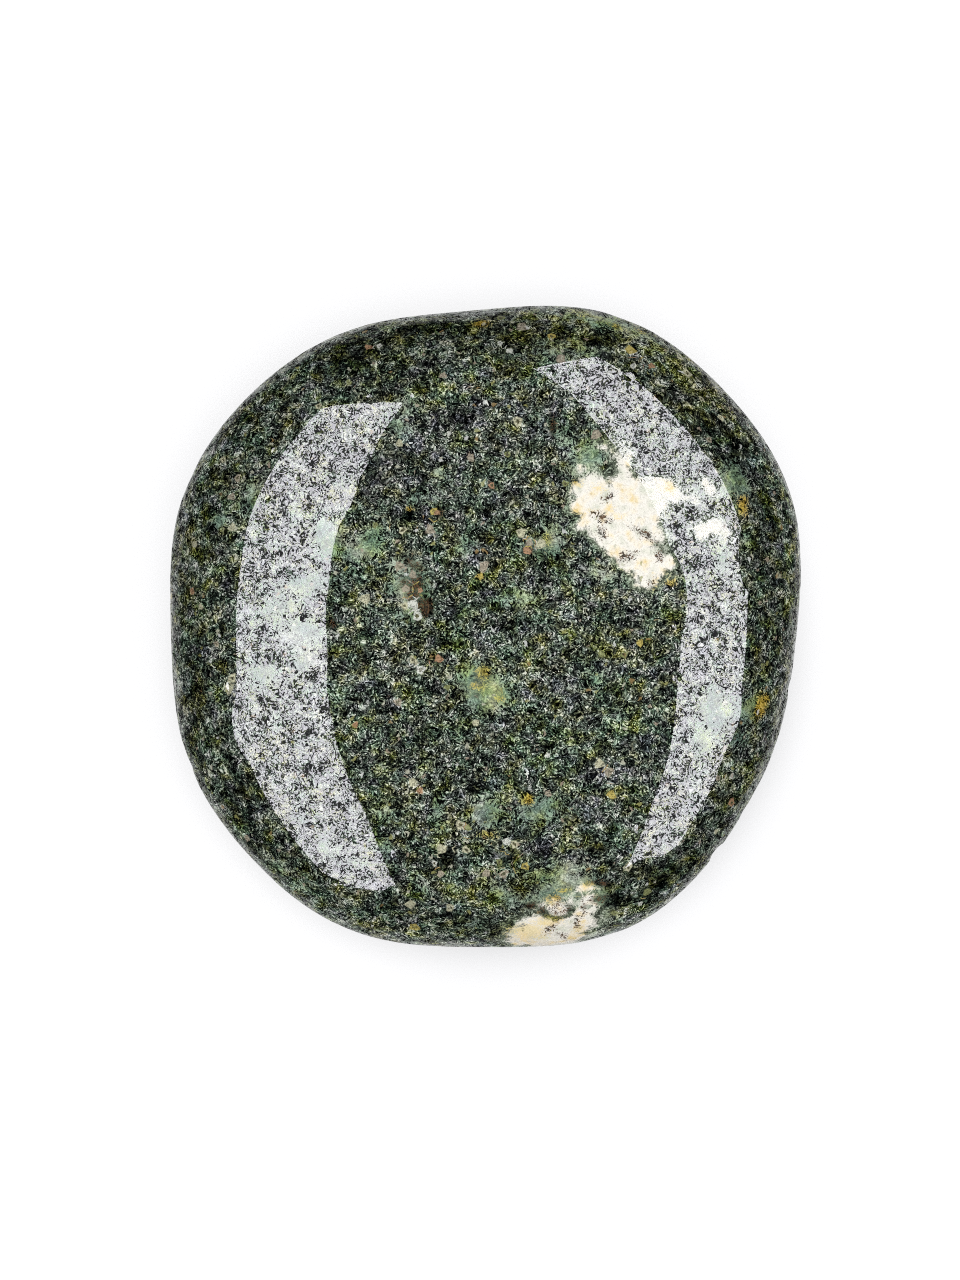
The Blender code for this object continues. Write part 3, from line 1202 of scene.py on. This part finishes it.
    # Polish: whole on the pale minerals, worn into worm-like marks on the dark.
    hard = g.math("MAXIMUM", g.math("MULTIPLY", pale, 0.75), cream)
    hard = g.math("MAXIMUM", hard, crystal)
    seam = g.noise(g.stretch(spin.outputs[0], (0, 0, 0), (0.24, 0.60, 0.30)), 1.0, 1.0, 0.5)
    level = g.math("ABSOLUTE", g.math("SUBTRACT", seam, 0.5))
    level = g.math("ADD", level, g.math("MULTIPLY", ragged2, 0.34))
    level = g.math("ADD", level, g.math("MULTIPLY", ragged, 0.27))
    level = g.math("ADD", level, g.math("MULTIPLY", hard, 0.22))
    level = g.math("SUBTRACT", level, g.math("MULTIPLY", mafic, 0.05))
    polish = g.range(level, 0.040, 0.070, 0.040, 1.0)
    light = g.math("MAXIMUM", g.range(tone, 0.60, 1.05), g.math("MAXIMUM", cream, g.math("MULTIPLY", pale, 0.25)))
    coat = g.math("MULTIPLY", polish, g.math("MULTIPLY_ADD", light, -0.75, 1.0))
    g.put(shader.inputs["Coat Weight"], g.math("MULTIPLY", coat, g.range(away, 27.3, 30.2, 1.0, 0.45)))
    g.put(shader.inputs["Roughness"], g.blend(polish, 0.75, 0.20))
    shader.inputs["Coat Roughness"].default_value = 0.015
    shader.inputs["Coat IOR"].default_value = 1.5
    shader.inputs["Specular IOR Level"].default_value = 0.0
    shader.inputs["IOR"].default_value = 1.5
    return material


# ---- stage -------------------------------------------------------------------


SHEET_NEAR, SHEET_FAR = 0.036, 0.062  # m; where the mirrored paper fades out
PAPER_GLOW, MIRRORED_GLOW, BOUNCED_GLOW = 0.745, 1.50, 0.30


def make_floor():
    shape = bmesh.new()
    bmesh.ops.create_grid(shape, x_segments=1, y_segments=1, size=1.6)
    mesh = bpy.data.meshes.new("floor")
    shape.to_mesh(mesh)
    shape.free()
    floor = bpy.data.objects.new("floor", mesh)
    floor.location = (0, 0, -0.00003)
    bpy.context.scene.collection.objects.link(floor)
    material = bpy.data.materials.new("white_paper")
    material.use_nodes = True
    shader = material.node_tree.nodes["Principled BSDF"]
    shader.inputs["Roughness"].default_value = 0.9
    shader.inputs["Specular IOR Level"].default_value = 0.0
    # Lit from below as a light table is, less towards the stone than towards the
    # eye, and what the polish mirrors of it is a sheet a hand wide in a dark room.
    # Its glow is dimmed under the stone and a little in front of it, a painted shadow.
    shader.inputs["Emission Color"].default_value = (1, 1, 1, 1)
    g = Graph(material.node_tree)
    rays = g.node("ShaderNodeLightPath")
    place = g.node("ShaderNodeTexCoord").outputs["Object"]
    away = g.vector("LENGTH", place)
    far = g.math("MULTIPLY", g.range(away, SHEET_NEAR, SHEET_FAR), rays.outputs["Is Glossy Ray"])
    g.put(shader.inputs["Base Color"], g.mix(far, tint(0.30, 0.30, 0.305), tint(0.02, 0.02, 0.02)))
    paper = g.range(away, 0.3, 1.3, PAPER_GLOW, 0.97)
    share = g.blend(rays.outputs["Is Glossy Ray"], paper, MIRRORED_GLOW)
    share = g.blend(rays.outputs["Is Diffuse Ray"], share, BOUNCED_GLOW)
    # painted shadow: the floor's glow falls to 8 % within 13 mm of a point 1 mm to +x and 4 mm to -y of the middle,
    # and is whole again at 34.5 mm
    painted_shadow_distance = g.vector("LENGTH", g.vector("SUBTRACT", place, (0.0010, -0.0040, 0.0)))
    share = g.math("MULTIPLY", share, g.range(painted_shadow_distance, 0.013, 0.0345, 0.08, 1.0))
    g.put(shader.inputs["Emission Strength"], g.math("MULTIPLY", g.math("SUBTRACT", 1.0, far), share))
    material.cycles.emission_sampling = "NONE"
    mesh.materials.append(material)
    return floor


# The two strip softboxes: azimuth, elevation, distance, half-length, half-width
# in mm, and roll.
STRIPS = {
    "left": (3.358, 0.936, 509.4, 585.0, 151.6, -0.295),
    "right": (0.151, 0.828, 501.7, 700.0, 151.4, 0.125),
}
STRIP_RADIANCE = 14.5
STRIP_FILL = 0.5
OVERHEAD_RADIANCE, OVERHEAD_WIDTH, OVERHEAD_HEIGHT = 5.6, 0.60, 0.80


def make_strip(name, row, radiance, gloss):
    azimuth, elevation, distance, half_long, half_wide, roll = row
    d = Vector(
        (
            math.cos(elevation) * math.cos(azimuth),
            math.cos(elevation) * math.sin(azimuth),
            math.sin(elevation),
        )
    )
    u = Vector((-math.sin(azimuth), math.cos(azimuth), 0))
    v = d.cross(u)
    along = u * math.cos(roll) + v * math.sin(roll)
    across = -u * math.sin(roll) + v * math.cos(roll)
    data = bpy.data.lights.new(name, "AREA")
    data.shape = "RECTANGLE"
    data.size, data.size_y = 2 * half_long * MM, 2 * half_wide * MM
    data.energy = radiance * math.pi * data.size * data.size_y
    data.color = (0.985, 0.97, 1.045)
    light = bpy.data.objects.new(name, data)
    middle = Vector((0, 0, RIM_HEIGHT)) + d * distance
    light.matrix_world = Matrix(
        (
            (along.x, across.x, d.x, middle.x * MM),
            (along.y, across.y, d.y, middle.y * MM),
            (along.z, across.z, d.z, middle.z * MM),
            (0, 0, 0, 1),
        )
    )
    light.visible_camera = False
    light.visible_glossy = gloss
    light.visible_diffuse = not gloss
    bpy.context.scene.collection.objects.link(light)
    return light


def make_overhead():
    data = bpy.data.lights.new("overhead", "AREA")
    data.shape = "DISK"
    data.size = OVERHEAD_WIDTH
    data.energy = OVERHEAD_RADIANCE * math.pi * math.pi * (OVERHEAD_WIDTH / 2) ** 2
    light = bpy.data.objects.new("overhead", data)
    light.location = (0.05, -0.10, OVERHEAD_HEIGHT)
    light.visible_camera = False
    light.visible_glossy = False
    bpy.context.scene.collection.objects.link(light)


def make_world():
    world = bpy.data.worlds.new("studio")
    bpy.context.scene.world = world
    world.use_nodes = True
    tree = world.node_tree
    tree.nodes.clear()
    g = Graph(tree)
    up = g.node("ShaderNodeSeparateXYZ")
    g.put(up.inputs[0], g.node("ShaderNodeTexCoord").outputs["Generated"])
    height = g.range(up.outputs[2], -1.0, 1.0, smooth=False)
    room = g.ramp(
        height,
        (
            (0.50, tint(0.02, 0.02, 0.022)),
            (0.75, tint(0.09, 0.092, 0.10)),
            (1.0, tint(0.36, 0.37, 0.40)),
        ),
    )
    mirrored = g.ramp(
        height,
        (
            (0.50, tint(0.03, 0.03, 0.033)),
            (1.0, tint(0.03, 0.03, 0.033)),
        ),
    )
    rays = g.node("ShaderNodeLightPath")
    seen = g.mix(rays.outputs["Is Glossy Ray"], room, mirrored)
    seen = g.mix(rays.outputs["Is Camera Ray"], seen, tint(0.95, 0.955, 0.96))
    back = g.node("ShaderNodeBackground")
    g.put(back.inputs[0], seen)
    out = g.node("ShaderNodeOutputWorld")
    tree.links.new(back.outputs[0], out.inputs[0])


def make_camera():
    data = bpy.data.cameras.new("camera")
    data.lens = 100
    data.sensor_width = 36
    data.clip_start = 0.01
    camera = bpy.data.objects.new("camera", data)
    camera.location = Vector(EYE) * MM
    bpy.context.scene.collection.objects.link(camera)
    bpy.context.scene.camera = camera
    return camera


def main():
    make_camera()
    stone = make_stone()
    stone.data.materials.append(dolerite())
    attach(stone, "root")
    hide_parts(NODE)
    make_floor()
    for name, row in STRIPS.items():
        make_strip(name + "_softbox", row, STRIP_RADIANCE, gloss=True)
        # a little behind its softbox
        make_strip(name + "_fill", row[:2] + (row[2] + 25,) + row[3:], STRIP_FILL, gloss=False)
    make_overhead()
    make_world()
    # The grain is as fine as a pixel, so the picture is neither smoothed nor cleaned.
    bpy.context.scene.view_settings.view_transform = "Standard"
    bpy.context.scene.cycles.use_denoising = False
    bpy.context.scene.cycles.filter_width = 1.0


main()
